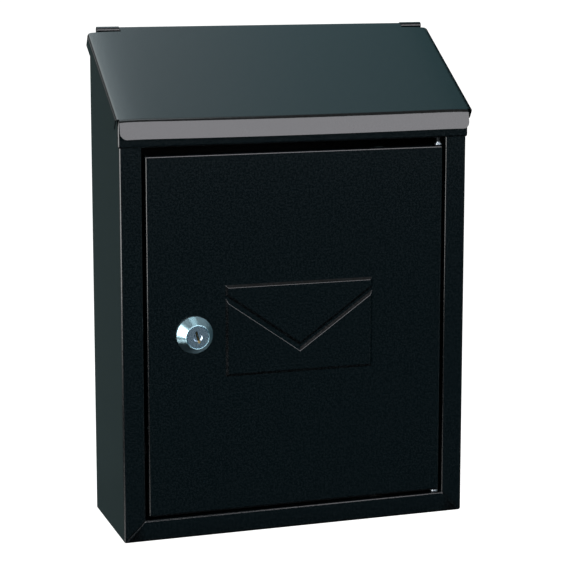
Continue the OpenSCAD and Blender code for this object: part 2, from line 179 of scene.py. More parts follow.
def sheet_piece(name, bm, thickness, edge_r):
    """Makes a folded surface into sheet of a thickness, laid inward, with its cut edges rounded."""
    bmesh.ops.remove_doubles(bm, verts=bm.verts, dist=HAIR)
    mesh = bpy.data.meshes.new(name)
    bm.to_mesh(mesh)
    bm.free()
    mesh.shade_smooth()
    piece = bpy.data.objects.new(name, mesh)
    bpy.context.scene.collection.objects.link(piece)
    solid = piece.modifiers.new("sheet", "SOLIDIFY")
    solid.thickness = thickness
    solid.offset = -1
    solid.use_even_offset = True
    solid.use_quality_normals = True
    rounding = piece.modifiers.new("cut_edges", "BEVEL")
    rounding.width = edge_r
    rounding.segments = 2
    rounding.limit_method = "ANGLE"
    rounding.angle_limit = math.radians(40)
    rounding.miter_outer = "MITER_ARC"
    shading = piece.modifiers.new("flat_faces", "WEIGHTED_NORMAL")
    shading.keep_sharp = True
    return piece


bm = box_sheet(shell_low, shell_high)
drop(bm, lambda c: c.z > shell_high.z - MM)
fold(bm, [e for e in bm.edges if not e.is_boundary], FOLD_R)

stile_in = shell_high.x - STILE_W
sill_z = shell_low.z + SILL_H
snip(bm, Vector((-stile_in, face_y - MM, sill_z)), Vector((stile_in, face_y + MM, FAR)))
rear_x = shell_high.x - REAR_FLANGE
snip(bm, Vector((-rear_x, shell_high.y - MM, shell_low.z + REAR_FLANGE)), Vector((rear_x, FAR, FAR)))

rim = [e for e in bm.edges
       if e.is_boundary and abs(middle(e).y - face_y) < 10 * HAIR
       and middle(e).z < shell_high.z - 10 * HAIR]
flange(bm, rim, (0, RETURN_D, 0))
fold(bm, rim, RETURN_R)

for side in (-1, 1):
    inner = Vector((side * stile_in, face_y, sill_z))
    outer = Vector((side * shell_high.x, face_y, shell_low.z))
    across = (inner - outer).cross(Vector((0, 1, 0))).normalized()
    corner_low = Vector((min(inner.x, outer.x), face_y - MM, outer.z))
    corner_high = Vector((max(inner.x, outer.x), face_y + 10 * HAIR, inner.z))
    for shift in (MITRE_GAP / 2, MITRE_GAP / 2 + MITRE_PINCH):
        split(bm, touching(bm, corner_low, corner_high), outer + across * shift, across)
        split(bm, touching(bm, corner_low, corner_high), outer - across * shift, across)
    gap = [f for f in touching(bm, corner_low, corner_high)
           if f.normal.y < -0.99 and abs((f.calc_center_bounds() - outer).dot(across)) < 0.45 * MITRE_GAP]
    pinched = dict.fromkeys(v for f in gap for v in f.verts if abs(v.co.y - face_y) < HAIR)
    for v in pinched:
        v.co.y += MITRE_SINK
    for e in bm.edges:
        off = [abs((v.co - outer).dot(across)) - MITRE_GAP / 2 - MITRE_PINCH for v in e.verts]
        e.smooth = e.smooth and max(abs(d) for d in off) > HAIR
    bmesh.ops.delete(bm, geom=gap, context="FACES")

up_from_lid = Vector((0, -math.sin(LID_SLOPE), math.cos(LID_SLOPE)))
trim(bm, hinge + up_from_lid * UNDER_LID, up_from_lid)
snip(bm, Vector((-FAR, -FAR, floor_to_row + STILE_TOP)), Vector((FAR, face_y + STEP_D, FAR)))
shell = sheet_piece("shell_folding", bm, SHEET_T, SHELL_EDGE)


def linear_from_hex(code):
    """Linear colour of an sRGB hex value."""
    def to_linear(c):
        return c / 12.92 if c <= 0.04045 else ((c + 0.055) / 1.055) ** 2.4
    return [to_linear(int(code[i:i + 2], 16) / 255) for i in (0, 2, 4)] + [1.0]


def add_node(owner, kind, settings=None, **inputs):
    """Adds a shader node to a material or a world. Each input is a value, or an output to link. An
    input is named as in Blender, with _ for a space, or as in0, in1 and so on by its place."""
    node = owner.node_tree.nodes.new(kind)
    for name, value in (settings or {}).items():
        setattr(node, name, value)
    for name, value in inputs.items():
        by_place = name.startswith("in") and name[2:].isdigit()
        socket = node.inputs[int(name[2:]) if by_place else name.replace("_", " ")]
        if isinstance(value, bpy.types.NodeSocket):
            owner.node_tree.links.new(value, socket)
        else:
            socket.default_value = value
    return node


def new_material(name):
    """A material with an empty node tree."""
    material = bpy.data.materials.new(name)
    material.use_nodes = True
    material.node_tree.nodes.clear()
    return material


# Satin black polyester powder coat: a near-black resin film with a faint orange peel from melting and
# a fine sanded grain. The eye sees a soft, slightly mottled sheen. The grain is about 0.3 mm on the
# real film, and is drawn 1.1 mm wide so that it shows.
PEEL = 6.0 * MM
GRAIN = 1.1 * MM
powder_coat = new_material("black_powder_coat")
place = add_node(powder_coat, "ShaderNodeTexCoord").outputs["Object"]
peel = add_node(powder_coat, "ShaderNodeTexNoise", Vector=place, Scale=1 / PEEL, Detail=1.0)
grain = add_node(powder_coat, "ShaderNodeTexNoise", Vector=place, Scale=1 / GRAIN, Detail=1.0)
tone = add_node(powder_coat, "ShaderNodeValToRGB", Fac=grain.outputs["Fac"])
tone.color_ramp.elements[0].position = 0.42
tone.color_ramp.elements[0].color = linear_from_hex("000102")
tone.color_ramp.elements[1].position = 0.58
tone.color_ramp.elements[1].color = linear_from_hex("080d0f")
gloss = add_node(powder_coat, "ShaderNodeMapRange", Value=grain.outputs["Fac"], From_Min=0.3,
                 From_Max=0.7, To_Min=0.13, To_Max=0.18)
waves = add_node(powder_coat, "ShaderNodeBump", Height=peel.outputs["Fac"], Distance=0.05 * MM,
                 Strength=0.5)
tooth = add_node(powder_coat, "ShaderNodeBump", Height=grain.outputs["Fac"], Distance=0.04 * MM,
                 Strength=0.6, Normal=waves.outputs["Normal"])
coat = add_node(powder_coat, "ShaderNodeBsdfPrincipled", Base_Color=tone.outputs["Color"],
                Roughness=gloss.outputs["Result"], IOR=1.5, Normal=tooth.outputs["Normal"])
add_node(powder_coat, "ShaderNodeOutputMaterial", Surface=coat.outputs["BSDF"])


def dress(piece, material, body, slot, *nodes):
    """Gives a piece its finish and body, and the frame nodes that it stands for."""
    piece.data.materials.append(material)
    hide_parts(*nodes)
    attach(piece, body)


dress(shell, powder_coat, "frame", "black_coat", "shell")


# ==== Back plate ==================================================================================
# A flat 1 mm steel plate, spot welded to the shell's rear flanges and punched for four wall screws.
# A tongue at each end of its top edge is rolled forward round the hinge rod into a knuckle.
BACK_T = 1 * MM
KNUCKLE_LEN = 13.6 * MM
KNUCKLE_GAP = 0.9 * MM
KNUCKLE_OFFSET = 3.4 * MM
KNUCKLE_SWEEP = math.radians(260)
PLATE_TOP = 2 * MM
CUT_EDGE = 0.16 * MM
plate_low, plate_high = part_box("back_plate")


def round_hole(bm, centre, radius, cell, half_flat, outward):
    """Punches a hole in a sheet that faces along Y, as a square cell filled up to a ring of edges.
    half_flat cuts the ring off at both sides for a hole with two flats."""
    reach = Vector((cell, MM, cell))
    snip(bm, centre - reach, centre + reach)
    square = [e for e in bm.edges if e.is_boundary and abs(middle(e).y - centre.y) < HAIR
              and max(abs(middle(e).x - centre.x), abs(middle(e).z - centre.z)) < cell + HAIR]
    turn = Matrix.Translation(centre) @ Matrix.Rotation(math.radians(90), 4, "X")
    ring = bmesh.ops.create_circle(bm, segments=48, radius=radius, matrix=turn)["verts"]
    for v in ring:
        v.co.x = min(max(v.co.x, centre.x - half_flat), centre.x + half_flat)
    ring_edges = [e for e in bm.edges if e.verts[0] in ring and e.verts[1] in ring]
    made = bmesh.ops.triangle_fill(bm, edges=[*square, *ring_edges], use_beauty=True)["geom"]
    faces = [f for f in made if isinstance(f, bmesh.types.BMFace)]
    bmesh.ops.reverse_faces(bm, faces=[f for f in faces if f.normal.y * outward < 0])


bm = bmesh.new()
bmesh.ops.create_grid(bm, x_segments=1, y_segments=1, size=0.5,
                      matrix=Matrix.Rotation(math.radians(-90), 4, "X"))
plate_z1 = hinge.z - PLATE_TOP
size = Vector((plate_high.x - plate_low.x, 0, plate_z1 - plate_low.z))
bmesh.ops.scale(bm, vec=(size.x, 1, size.z), verts=bm.verts)
bmesh.ops.translate(bm, vec=(0, 0, plate_low.z + size.z / 2), verts=bm.verts)
right_out = shell_high.x - KNUCKLE_GAP
right_in = right_out - KNUCKLE_LEN
left_out = KNUCKLE_OFFSET - right_out
left_in = KNUCKLE_OFFSET - right_in
for x in (left_out, left_in, right_in, right_out):
    split(bm, list(bm.faces), (x, 0, 0), (1, 0, 0))
tongues = [e for e in bm.edges if middle(e).z > plate_z1 - HAIR
           and (left_out < middle(e).x < left_in or right_in < middle(e).x < right_out)]
tips = flange(bm, tongues, (0, 0, PLATE_TOP))
tip_edges = [e for e in bm.edges if e.verts[0] in tips and e.verts[1] in tips]
bmesh.ops.spin(bm, geom=[*tips, *tip_edges], cent=hinge, axis=(1, 0, 0), angle=KNUCKLE_SWEEP, steps=26)

for mount in frame["record"]["mounts"]:
    if mount["kind"] == "bolt_pattern":
        dims = mount["dims"]
        for x in (-dims["spacing_x_mm"] / 2, dims["spacing_x_mm"] / 2):
            for z in (-dims["spacing_y_mm"] / 2, dims["spacing_y_mm"] / 2):
                hole = Vector((x * MM, 0, z * MM))
                radius = dims["hole_r_mm"] * MM
                round_hole(bm, hole, radius, 2 * radius, radius, 1)
back_plate = sheet_piece("back_plate_pressing", bm, BACK_T, CUT_EDGE)
dress(back_plate, powder_coat, "frame", "black_coat", "back_plate")


# ==== Top rail ====================================================================================
# A shallow channel folded from the same sheet as the shell. It laps over the stile tops, its ends
# wrap round the side walls, and its lower lip holds the door's upper pin.
RAIL_LIP_D = 10.8 * MM
RAIL_END_GAP = 0.4 * MM
PAST_FOLD = FOLD_R + 0.2 * MM
rail_low, rail_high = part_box("top_rail")
bm = box_sheet(rail_low, rail_high)
drop(bm, lambda c: c.y > rail_high.y - MM / 10)
fold(bm, [e for e in bm.edges if not e.is_boundary], FOLD_R)
behind = rail_low.y + FOLD_R
lip_x = stile_in - RAIL_END_GAP
top_x = shell_high.x - 2 * SHEET_T
tab_y = rail_low.y + RAIL_LIP_D
for side in (-1, 1):
    near, far = sorted((side * top_x, side * FAR))
    snip(bm, Vector((near, behind, rail_high.z - PAST_FOLD)), Vector((far, FAR, FAR)))
    near, far = sorted((side * lip_x, side * FAR))
    snip(bm, Vector((near, behind, -FAR)), Vector((far, FAR, rail_low.z + PAST_FOLD)))
    near, far = sorted((side * (shell_high.x - MM), side * FAR))
    snip(bm, Vector((near, tab_y, -FAR)), Vector((far, FAR, FAR)))
snip(bm, Vector((-FAR, tab_y, -FAR)), Vector((FAR, FAR, rail_low.z + MM)))
rail = sheet_piece("top_rail_folding", bm, SHEET_T, CUT_EDGE)
dress(rail, powder_coat, "frame", "black_coat", "top_rail")


# ==== Hinge rod ===================================================================================
# A 2.2 mm round steel rod with bright zinc plate. It lies in the two knuckles of the back plate, and
# the curl of the lid turns on it.
ROD_R = 1.1 * MM
ROD_SHORT = 0.3 * MM
ROD_EDGE = 0.2 * MM
CLOUD = 4 * MM


def lathe(points, centre, axis, steps):
    """Turns an outline about an axis through centre. A point is a radius and a place along the axis."""
    bm = bmesh.new()
    axis = Vector(axis)
    sideways = Vector((0, 0, 1)) if abs(axis.z) < 0.5 else Vector((1, 0, 0))
    verts = [bm.verts.new(centre + sideways * radius + axis * place) for radius, place in points]
    edges = [bm.edges.new(pair) for pair in zip(verts, verts[1:])]
    bmesh.ops.spin(bm, geom=[*verts, *edges], cent=centre, axis=axis, angle=math.radians(360), steps=steps,
                   use_merge=True)
    bmesh.ops.remove_doubles(bm, verts=bm.verts, dist=HAIR)
    bmesh.ops.recalc_face_normals(bm, faces=bm.faces)
    return bm


def solid_piece(name, bm, edge_r):
    """Makes a closed shape into a piece with its sharp edges broken."""
    mesh = bpy.data.meshes.new(name)
    bm.to_mesh(mesh)
    bm.free()
    mesh.shade_smooth()
    piece = bpy.data.objects.new(name, mesh)
    bpy.context.scene.collection.objects.link(piece)
    rounding = piece.modifiers.new("broken_edges", "BEVEL")
    rounding.width = edge_r
    rounding.segments = 2
    rounding.limit_method = "ANGLE"
    rounding.angle_limit = math.radians(25)
    shading = piece.modifiers.new("flat_faces", "WEIGHTED_NORMAL")
    shading.keep_sharp = False
    return piece


# Electroplated zinc with a clear blue passivation: bright, with soft clouds a few millimetres wide
# where the bath left it duller.
zinc = new_material("blue_passivated_zinc_plate")
place = add_node(zinc, "ShaderNodeTexCoord").outputs["Object"]
clouds = add_node(zinc, "ShaderNodeTexNoise", Vector=place, Scale=1 / CLOUD, Detail=3.0)
tone = add_node(zinc, "ShaderNodeValToRGB", Fac=clouds.outputs["Fac"])
tone.color_ramp.elements[0].position = 0.35
tone.color_ramp.elements[0].color = linear_from_hex("a3abb3")
tone.color_ramp.elements[1].position = 0.65
tone.color_ramp.elements[1].color = linear_from_hex("c4c8c8")
gloss = add_node(zinc, "ShaderNodeMapRange", Value=clouds.outputs["Fac"], From_Min=0.3, From_Max=0.7,
                 To_Min=0.26, To_Max=0.42)
plate = add_node(zinc, "ShaderNodeBsdfPrincipled", Base_Color=tone.outputs["Color"], Metallic=1.0,
                 Roughness=gloss.outputs["Result"])
add_node(zinc, "ShaderNodeOutputMaterial", Surface=plate.outputs["BSDF"])

rod_left = left_out + ROD_SHORT
rod_right = right_out - ROD_SHORT
bm = lathe([(0, rod_left), (ROD_R, rod_left), (ROD_R, rod_right), (0, rod_right)], hinge, (1, 0, 0), 32)
rod = solid_piece("hinge_rod_bar", bm, ROD_EDGE)
dress(rod, zinc, "frame", "zinc_plate", "hinge_rod")


# ==== Lid =========================================================================================
# A 0.6 mm steel sheet with folded side flanges, a front flange with round corners that leans out to
# shed rain, and a rear edge curled round the hinge rod. Hand folding leaves it a little bowed.
LID_T = 0.6 * MM
LID_W = 220.4 * MM
LID_REACH = 91.2 * MM
LID_TOP = 1.76 * MM
LID_SIDE_D = 6.8 * MM
LID_FRONT_D = 11.2 * MM
LID_FRONT_IN_LEFT = 2 * MM
LID_FRONT_IN_RIGHT = 3.2 * MM
LID_FRONT_LEAN = math.radians(12)
LID_NOTCH = 4 * MM
LID_CURL_GAP = 0.4 * MM
LID_CURL = math.radians(170)
LID_SAG = 1.0 * MM
LID_EDGE_DROP = 1.0 * MM
LID_FRONT_CORNER = 4.5 * MM
LID_REAR_CORNER = 3 * MM
LID_END_CUT = 4.5 * MM
LID_SIDE_SHORT = 1.6 * MM
LID_CUT_EDGE = 0.14 * MM
side_end = LID_REACH - LID_SIDE_SHORT
half_lid = LID_W / 2
front_left = LID_FRONT_IN_LEFT - half_lid
front_right = half_lid - LID_FRONT_IN_RIGHT
curl_left = left_in + LID_CURL_GAP
curl_right = right_in - LID_CURL_GAP

bm = bmesh.new()
bmesh.ops.create_grid(bm, x_segments=60, y_segments=8, size=0.5)
bmesh.ops.scale(bm, vec=(LID_W, LID_REACH, 1), verts=bm.verts)
bmesh.ops.translate(bm, vec=(0, -LID_REACH / 2, LID_TOP), verts=bm.verts)
for x in (front_left, curl_left, curl_right, front_right):
    split(bm, list(bm.faces), (x, 0, 0), (1, 0, 0))
for y in (-side_end, -LID_NOTCH):
    split(bm, list(bm.faces), (0, y, 0), (0, 1, 0))
drop(bm, lambda c: not curl_left < c.x < curl_right and c.y > -LID_NOTCH)
drop(bm, lambda c: not front_left < c.x < front_right and c.y < -side_end)

side_edges = [e for e in bm.edges if abs(middle(e).x) > half_lid - HAIR]
flange(bm, side_edges, (0, 0, -LID_SIDE_D))
front_edges = [e for e in bm.edges if middle(e).y < -LID_REACH + HAIR]
front_turn = math.radians(90) - LID_SLOPE - LID_FRONT_LEAN
slope_down = Vector((0, -math.cos(front_turn), -math.sin(front_turn)))
flange(bm, front_edges, slope_down * LID_FRONT_D)
rear_edges = [e for e in bm.edges if middle(e).y > -HAIR]
rear_verts = list(dict.fromkeys(v for e in rear_edges for v in e.verts))
bmesh.ops.spin(bm, geom=[*rear_verts, *rear_edges], cent=(0, 0, 0), axis=(1, 0, 0), angle=-LID_CURL,
               steps=16)

fold(bm, side_edges + front_edges, FOLD_R)
for side, front_x in ((-1, front_left), (1, front_right)):
    outward = Vector((side, 0, 0))
    lip = Vector((front_x, -LID_REACH, LID_TOP)) + slope_down * LID_FRONT_D
    round_off(bm, lip, outward, slope_down, LID_FRONT_CORNER, MM)
    rear = Vector((side * half_lid, -LID_NOTCH, LID_TOP))
    round_off(bm, rear, outward, Vector((0, 1, 0)), LID_REAR_CORNER, LID_SIDE_D)
    for end, way in ((-side_end, -1), (-LID_NOTCH, 1)):
        slant = Vector((0, way, -1)).normalized()
        on_cut = Vector((0, end - way * LID_END_CUT, LID_TOP - LID_SIDE_D))
        flap_low = Vector((side * half_lid - MM / 10, end - LID_SIDE_D, -FAR))
        flap_high = Vector((side * half_lid + MM / 10, end + LID_SIDE_D, LID_TOP - FOLD_R))
        split(bm, touching(bm, flap_low, flap_high), on_cut, slant)
        tip = [f for f in touching(bm, flap_low, flap_high)
               if (f.calc_center_bounds() - on_cut).dot(slant) > HAIR]
        bmesh.ops.delete(bm, geom=tip, context="FACES")

for v in bm.verts:
    across = min(abs(v.co.x) / half_lid, 1)
    down = min(max(-v.co.y / LID_REACH, 0), 1)
    v.co.z -= LID_SAG * down * (1 - across ** 2) + LID_EDGE_DROP * across ** 16
closed = Matrix.Translation(hinge) @ Matrix.Rotation(LID_SLOPE, 4, "X")
bmesh.ops.transform(bm, verts=bm.verts, matrix=closed)
lid = sheet_piece("lid_folding", bm, LID_T, LID_CUT_EDGE)
dress(lid, powder_coat, "lid", "black_coat", "lid")


# ==== Door ========================================================================================
# A shallow pan pressed from 0.8 mm sheet, with an envelope pressed out of its face and a hole with
# two flats for the lock. The crests of the pressing are rounded, and the feet of its walls are sharp.
LOCK_HOLE_R = 8.1 * MM
LOCK_HOLE_FLAT = 7.1 * MM
LOCK_HOLE_CELL = 9.5 * MM
ENV_W = 92.3 * MM
ENV_H = 54.9 * MM
ENV_RISE = 1 * MM
ENV_SLOPE = 1.6 * MM
ENV_EDGE = 0.2 * MM
ENV_FLAP = 38.8 * MM
ENV_DROP = 6.2 * MM
ENV_CHANNEL = 1.6 * MM
ENV_X = 93.6 * MM
ENV_Z = 123.8 * MM
door_low, door_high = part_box("door")
door_low.y = face_y
lock = joint_at["lock_turn"]
bm = box_sheet(door_low, door_high)
drop(bm, lambda c: c.y > door_high.y - MM / 10)
fold(bm, [e for e in bm.edges if not e.is_boundary], FOLD_R)

env = Vector((door_low.x + ENV_X, face_y, floor_to_row + ENV_Z))
env_low = env - Vector((ENV_W / 2, 0, ENV_H / 2))
env_high = env + Vector((ENV_W / 2, 0, ENV_H / 2))


def on_face():
    """The faces of the door's flat front."""
    return [f for f in bm.faces if f.normal.y < -0.999]


def in_envelope():
    """The front faces inside the envelope's outline."""
    return [f for f in on_face() if env_low.x < f.calc_center_bounds().x < env_high.x
            and env_low.z < f.calc_center_bounds().z < env_high.z]


for x in (env_low.x, env_high.x):
    split(bm, on_face(), (x, 0, 0), (1, 0, 0))
for z in (env_low.z, env_high.z):
    split(bm, on_face(), (0, 0, z), (0, 0, 1))
split(bm, in_envelope(), env, (1, 0, 0))
flap_tip = env + Vector((0, 0, ENV_H / 2 - ENV_FLAP))
pocket_tip = flap_tip - Vector((0, 0, ENV_CHANNEL))
rise = (ENV_FLAP - ENV_DROP) / (ENV_W / 2)
for side in (-1, 1):
    for tip in (flap_tip, pocket_tip):
        half = [f for f in in_envelope() if (f.calc_center_bounds().x - env.x) * side > 0]
        split(bm, half, tip, (-side * rise, 0, 1))


def above(face, tip):
    """Height of a face's middle above the V that has its lowest point at tip."""
    middle_point = face.calc_center_median()
    return middle_point.z - tip.z - rise * abs(middle_point.x - tip.x)


flap = [f for f in in_envelope() if above(f, flap_tip) > 0]
pocket = [f for f in in_envelope() if above(f, pocket_tip) < 0]
for plateau in (flap, pocket):
    bmesh.ops.inset_region(bm, faces=plateau, thickness=ENV_SLOPE, depth=ENV_RISE, use_even_offset=True)


def relief_bends():
    """The edges at which the relief's sheet turns by more than 20 degrees."""
    bm.normal_update()
    return [e for e in bm.edges if len(e.link_faces) == 2 and e.calc_face_angle(0) > math.radians(20)
            and env_low.x - MM < middle(e).x < env_high.x + MM
            and env_low.z - MM < middle(e).z < env_high.z + MM]


crests = [e for e in relief_bends() if e.is_convex]
bmesh.ops.bevel(bm, geom=crests, offset=ENV_EDGE, segments=3, profile=0.5, affect="EDGES", material=-1)
for e in relief_bends():
    e.smooth = e.is_convex
round_hole(bm, Vector((lock.x, face_y, lock.z)), LOCK_HOLE_R, LOCK_HOLE_CELL, LOCK_HOLE_FLAT, -1)
door = sheet_piece("door_pressing", bm, SHEET_T, CUT_EDGE)
door.modifiers["cut_edges"].angle_limit = math.radians(60)
dress(door, powder_coat, "door", "black_coat", "door")


# ==== Door pivots =================================================================================
# Two 2.6 mm steel pins riveted in the door, that turn in holes in the top rail and the sill, and the
# steel washer on the sill that carries the door. All are zinc plated.
PIN_R = 1.3 * MM
COLLAR_R = 2.1 * MM
COLLAR_UP = 3 * MM
COLLAR_T = 1 * MM
WASHER_R = 2.4 * MM
WASHER_BORE = 1.32 * MM
SHADE_FADE_UP = 1.1 * MM
PIN_GLOSS_PATCH = 1 * MM
PIN_EDGE = 0.15 * MM
pivot = joint_at["door_hinge"]
low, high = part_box("upper_pivot_pin")
foot, top = low.z - pivot.z, high.z - pivot.z
bm = lathe([(0, foot), (PIN_R, foot), (PIN_R, foot + COLLAR_UP), (COLLAR_R, foot + COLLAR_UP),
            (COLLAR_R, foot + COLLAR_UP + COLLAR_T), (PIN_R, foot + COLLAR_UP + COLLAR_T), (PIN_R, top),
            (0, top)], pivot, (0, 0, 1), 40)
upper_pin = solid_piece("upper_pin_turning", bm, PIN_EDGE)

# Zinc plate on the collar. Above it, on the shank where the pin turns in the rail, the colour is
# painted near black as shade from the rail; this painted shade fades in over about half a millimetre.
# The gloss is uneven in patches about a millimetre wide.
zinc_with_painted_shade = new_material("zinc_plate_painted_shade_on_shank")
place = add_node(zinc_with_painted_shade, "ShaderNodeTexCoord").outputs["Object"]
height = add_node(zinc_with_painted_shade, "ShaderNodeSeparateXYZ", Vector=place).outputs["Z"]
collar_top = low.z + COLLAR_UP + COLLAR_T
shank_shade_fade = add_node(zinc_with_painted_shade, "ShaderNodeMapRange", Value=height, From_Min=collar_top + SHADE_FADE_UP / 2,
                From_Max=collar_top + SHADE_FADE_UP)
pin_gloss_patches = add_node(zinc_with_painted_shade, "ShaderNodeTexNoise", Vector=place, Scale=1 / PIN_GLOSS_PATCH, Detail=3.0)
# Painted shade: zinc below, near black above, for the shadow in the gap under the rail.
tone = add_node(zinc_with_painted_shade, "ShaderNodeValToRGB", Fac=shank_shade_fade.outputs["Result"])
tone.color_ramp.elements[0].color = linear_from_hex("a9b1b7")
tone.color_ramp.elements[1].color = linear_from_hex("1d1f20")
gloss = add_node(zinc_with_painted_shade, "ShaderNodeMapRange", Value=pin_gloss_patches.outputs["Fac"], To_Min=0.3, To_Max=0.45)
plate = add_node(zinc_with_painted_shade, "ShaderNodeBsdfPrincipled", Base_Color=tone.outputs["Color"], Metallic=1.0,
                 Roughness=gloss.outputs["Result"])
add_node(zinc_with_painted_shade, "ShaderNodeOutputMaterial", Surface=plate.outputs["BSDF"])
dress(upper_pin, zinc_with_painted_shade, "door", "zinc_plate", "upper_pivot_pin")

low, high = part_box("lower_pivot_pin")
foot, top = low.z - pivot.z, high.z - pivot.z
bm = lathe([(0, foot), (PIN_R, foot), (PIN_R, top), (0, top)], pivot, (0, 0, 1), 40)
lower_pin = solid_piece("lower_pin_turning", bm, ROD_EDGE)
dress(lower_pin, zinc, "door", "zinc_plate", "lower_pivot_pin")


def tube(bore, radius, start, end, centre, axis, steps):
    """Turns a square-edged ring that reaches from start to end along its axis."""
    outline = [(bore, start), (radius, start), (radius, end), (bore, end), (bore, start)]
    return lathe(outline, centre, axis, steps)


low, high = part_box("pivot_washer")
foot, top = low.z - pivot.z, high.z - pivot.z
bm = tube(WASHER_BORE, WASHER_R, foot, top, pivot, (0, 0, 1), 48)
washer = solid_piece("pivot_washer_ring", bm, PIN_EDGE)
dress(washer, zinc, "door", "zinc_plate", "pivot_washer")


# ==== Lock housing, seal and nut ==================================================================
# A die-cast zinc housing whose conical head is turned and chromed, so that it gleams in wedges. A
# rubber ring seals it to the door, and a toothed washer and a nut clamp it from behind.
HEAD_OUT = 8.2 * MM
HEAD_BASE = 11 * MM
HEAD_FACE = 7.4 * MM
HEAD_RIM = 0.8 * MM
HEAD_CHAMFER = 0.3 * MM
HEAD_EDGE = 0.12 * MM
RECESS = 1.8 * MM
PLUG_FACE = 6.6 * MM
PLUG_R = 5 * MM
HOLE_PLAY = 0.05 * MM
BARREL_R = 8 * MM
BARREL_FLAT = 7 * MM
BARREL_END = 7 * MM
SEAL_T = 0.6 * MM
SEAL_R = 10.5 * MM
SEAL_BORE = 8.1 * MM
NUT_BORE = 8.02 * MM
NUT_FLAT = 10 * MM
NUT_CORNER = 11.5 * MM
NUT_A = 1.6 * MM
NUT_B = 5.2 * MM
NUT_CHAMFER = 0.7 * MM
SMALL_EDGE = 0.1 * MM
HEAD_HAZE = 2.5 * MM
BLOOM = 3 * MM
INTO_WALL = (0, 1, 0)

bore = PLUG_R + HOLE_PLAY
face_bore = PLUG_FACE + HOLE_PLAY
bm = lathe([(bore, RECESS - HEAD_OUT), (face_bore, RECESS - HEAD_OUT), (face_bore, -HEAD_OUT),
            (HEAD_FACE - HEAD_CHAMFER, -HEAD_OUT), (HEAD_FACE, HEAD_CHAMFER - HEAD_OUT),
            (HEAD_BASE, -SEAL_T - HEAD_RIM), (HEAD_BASE, -SEAL_T), (BARREL_R, -SEAL_T),
            (BARREL_R, BARREL_END), (bore, BARREL_END), (bore, RECESS - HEAD_OUT)], lock, INTO_WALL, 96)
for v in bm.verts:
    if v.co.y > lock.y - SEAL_T + HAIR:
        v.co.x = min(max(v.co.x, lock.x - BARREL_FLAT), lock.x + BARREL_FLAT)
housing = solid_piece("lock_housing_casting", bm, HEAD_EDGE)

# Bright chrome over turned metal. The fine turning grooves spread the gloss outward from the axis.
chrome = new_material("chromed_turned_metal")
place = add_node(chrome, "ShaderNodeTexCoord").outputs["Object"]
from_lock = add_node(chrome, "ShaderNodeVectorMath", {"operation": "SUBTRACT"}, in0=place, in1=lock)
from_axis = add_node(chrome, "ShaderNodeVectorMath", {"operation": "MULTIPLY"},
                     in0=from_lock.outputs["Vector"], in1=(1, 0, 1))
outward = add_node(chrome, "ShaderNodeVectorTransform",
                   {"vector_type": "VECTOR", "convert_from": "OBJECT", "convert_to": "WORLD"},
                   Vector=from_axis.outputs["Vector"])
haze = add_node(chrome, "ShaderNodeTexNoise", Vector=place, Scale=1 / HEAD_HAZE, Detail=4.0)
gloss = add_node(chrome, "ShaderNodeMapRange", Value=haze.outputs["Fac"], To_Min=0.3, To_Max=0.4)
plate = add_node(chrome, "ShaderNodeBsdfPrincipled", Base_Color=linear_from_hex("b4d8e2"), Metallic=1.0,
                 Roughness=gloss.outputs["Result"], Anisotropic=0.9, Tangent=outward.outputs["Vector"])
add_node(chrome, "ShaderNodeOutputMaterial", Surface=plate.outputs["BSDF"])
dress(housing, chrome, "door", "lock_chrome", "lock_housing")

bm = tube(SEAL_BORE, SEAL_R, -SEAL_T, 0, lock, INTO_WALL, 72)
seal = solid_piece("lock_seal_ring", bm, SMALL_EDGE)

# Matt black moulded rubber with a faint grey bloom in patches about 3 mm wide.
rubber = new_material("matt_black_rubber")
place = add_node(rubber, "ShaderNodeTexCoord").outputs["Object"]
bloom = add_node(rubber, "ShaderNodeTexNoise", Vector=place, Scale=1 / BLOOM, Detail=4.0)
tone = add_node(rubber, "ShaderNodeValToRGB", Fac=bloom.outputs["Fac"])
tone.color_ramp.elements[0].position = 0.4
tone.color_ramp.elements[0].color = linear_from_hex("161616")
tone.color_ramp.elements[1].position = 0.75
tone.color_ramp.elements[1].color = linear_from_hex("262625")
matt = add_node(rubber, "ShaderNodeBsdfPrincipled", Base_Color=tone.outputs["Color"], Roughness=0.75)
add_node(rubber, "ShaderNodeOutputMaterial", Surface=matt.outputs["BSDF"])
dress(seal, rubber, "door", "black_rubber", "lock_gasket")

bm = lathe([(NUT_BORE, NUT_A), (NUT_FLAT, NUT_A), (NUT_CORNER, NUT_A + NUT_CHAMFER),
            (NUT_CORNER, NUT_B - NUT_CHAMFER), (NUT_FLAT, NUT_B), (NUT_BORE, NUT_B), (NUT_BORE, NUT_A)],
           lock, INTO_WALL, 96)
for k in range(6):
    turn = math.radians(60 * k)
    out = Vector((math.cos(turn), 0, math.sin(turn)))
    trim(bm, lock + out * NUT_FLAT, out)
    bmesh.ops.contextual_create(bm, geom=[e for e in bm.edges if e.is_boundary])
nut = solid_piece("lock_nut_hexagon", bm, SMALL_EDGE)
dress(nut, zinc, "door", "zinc_plate", "lock_nut")


def finish_node(name, material):
    """Gives a node that is kept as it stands its finish."""
    node = frame["nodes"][name]
    node.data.materials.clear()
    node.data.materials.append(material)


finish_node("lock_washer", zinc)


# ==== Lock plug and wafers ========================================================================
# The chromed plug that the key turns, with its keyway, and inside it the brass wafers, their springs
# of steel wire and the zinc-plated washer that stops the turn at a quarter.
PLUG_HAZE = 1.5 * MM
BRASS_SPOT = 1 * MM
WIRE_STAIN = 2 * MM

